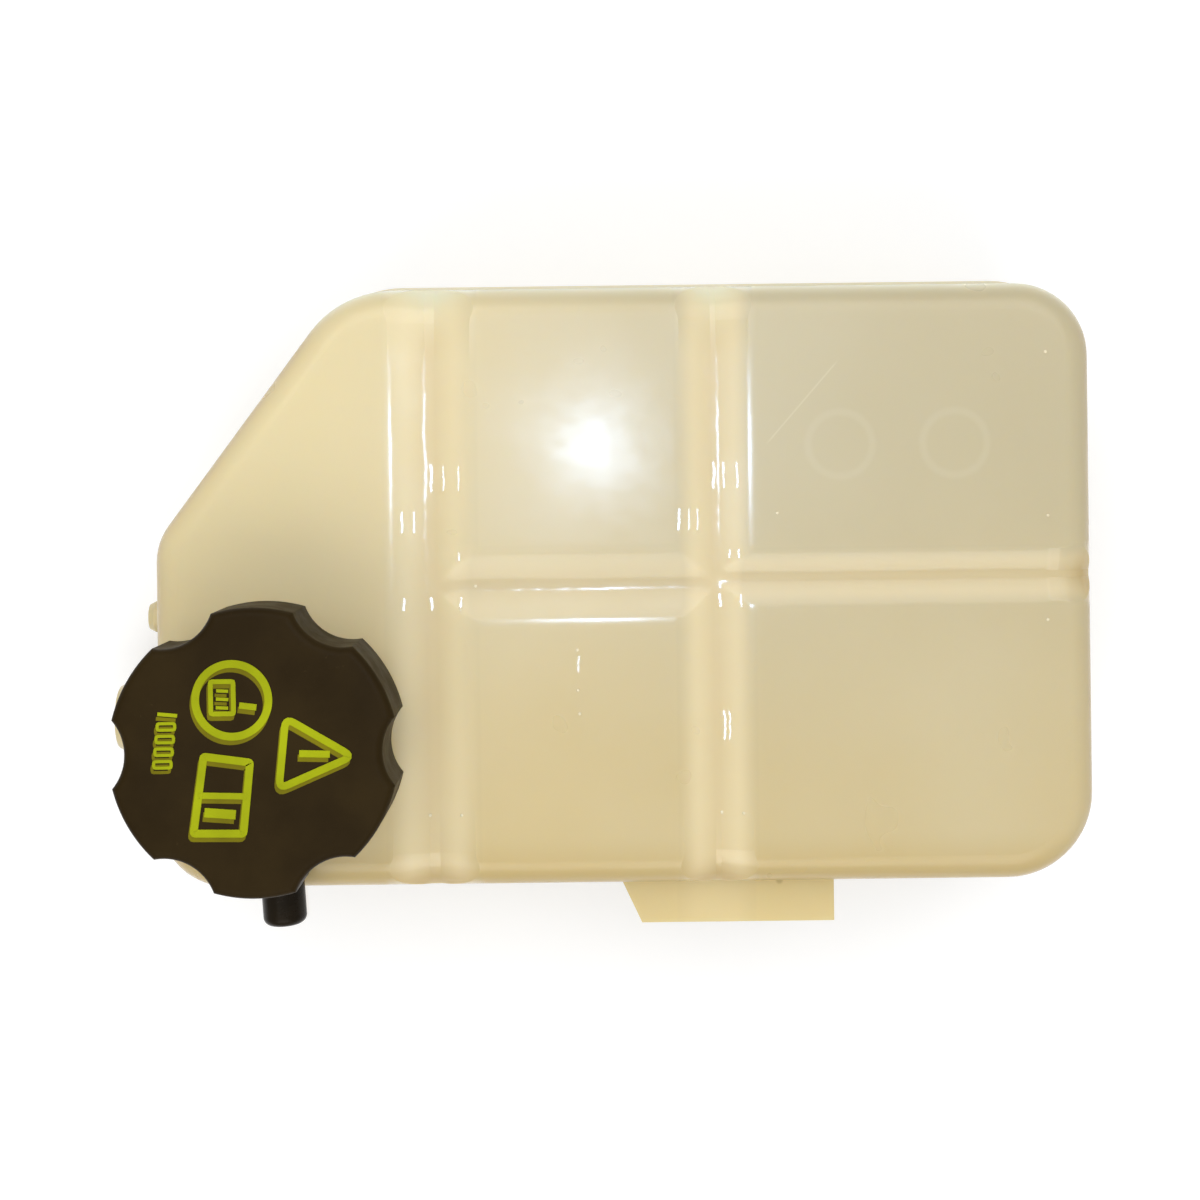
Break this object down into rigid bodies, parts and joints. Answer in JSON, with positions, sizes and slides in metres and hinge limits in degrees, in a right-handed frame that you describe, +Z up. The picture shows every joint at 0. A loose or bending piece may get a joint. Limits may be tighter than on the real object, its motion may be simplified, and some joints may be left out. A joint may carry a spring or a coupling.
{
  "type": "coolant expansion tank",
  "caption": "Translucent expansion tank for engine coolant: welded half shells with grooved panels, a slanted corner, hose spigots, a bracket tongue and a dark screw cap with a valve cartridge",
  "frame": {"origin": "on the flat base that the tank rests on, at the middle of the body's plan", "axes": "+X along the body's length, away from the hose spigots; +Y across the body, away from the bracket tongue; +Z up, the way the cap faces"},
  "size_m": [0.2996, 0.1896, 0.13],
  "materials": {
    "shell_plastic": "translucent cream plastic, satin, slightly yellowed",
    "cap_plastic": "satin dark brown-black plastic",
    "cartridge_plastic": "black plastic",
    "black_rubber": "smooth black rubber",
    "clip_steel": "plain stainless steel",
    "spring_steel": "drawn stainless spring wire",
    "valve_brass": "turned brass"
  },
  "bodies": {
    "tank": {"upper_shell": "shell_plastic", "lower_shell": "shell_plastic", "bleed_spigot_cap": "black_rubber"},
    "cartridge": {"cartridge_body": "cartridge_plastic", "cartridge_base": "cartridge_plastic", "neck_o_ring": "black_rubber", "cap_gasket": "black_rubber", "pressure_spring": "spring_steel"},
    "cap": {"cap_grip": "cap_plastic", "cap_thread_ring": "cap_plastic", "cap_clip": "clip_steel"},
    "pressure_valve": {"pressure_valve_plate": "clip_steel", "pressure_valve_seal": "black_rubber", "vacuum_spring": "spring_steel"},
    "vacuum_valve": {"vacuum_valve_stem": "valve_brass", "vacuum_valve_seal": "black_rubber", "vacuum_spring_cup": "valve_brass"}
  },
  "joints": [
    {"name": "cap_lift", "type": "slide", "parent": "tank", "child": "cartridge", "axis": [0, 0, 1], "range_m": [0, 0.064]},
    {"name": "cap_turn", "type": "hinge", "parent": "cartridge", "child": "cap", "pos_m": [-0.0996, -0.0404, 0.118], "axis": [0, 0, 1], "range_deg": [0, 2881]},
    {"name": "pressure_open", "type": "slide", "parent": "cartridge", "child": "pressure_valve", "axis": [0, 0, 1], "range_m": [0, 0.0015], "stiffness_N_per_m": 350, "springref_m": -0.01, "deforming": ["pressure_spring"]},
    {"name": "vacuum_open", "type": "slide", "parent": "pressure_valve", "child": "vacuum_valve", "axis": [0, 0, -1], "range_m": [0, 0.0012], "stiffness_N_per_m": 50, "springref_m": -0.004, "deforming": ["vacuum_spring"]}
  ],
  "couplings": [
    {"joint": "cap_turn", "follows": "cap_lift", "rad_per_m": 785.4}
  ]
}
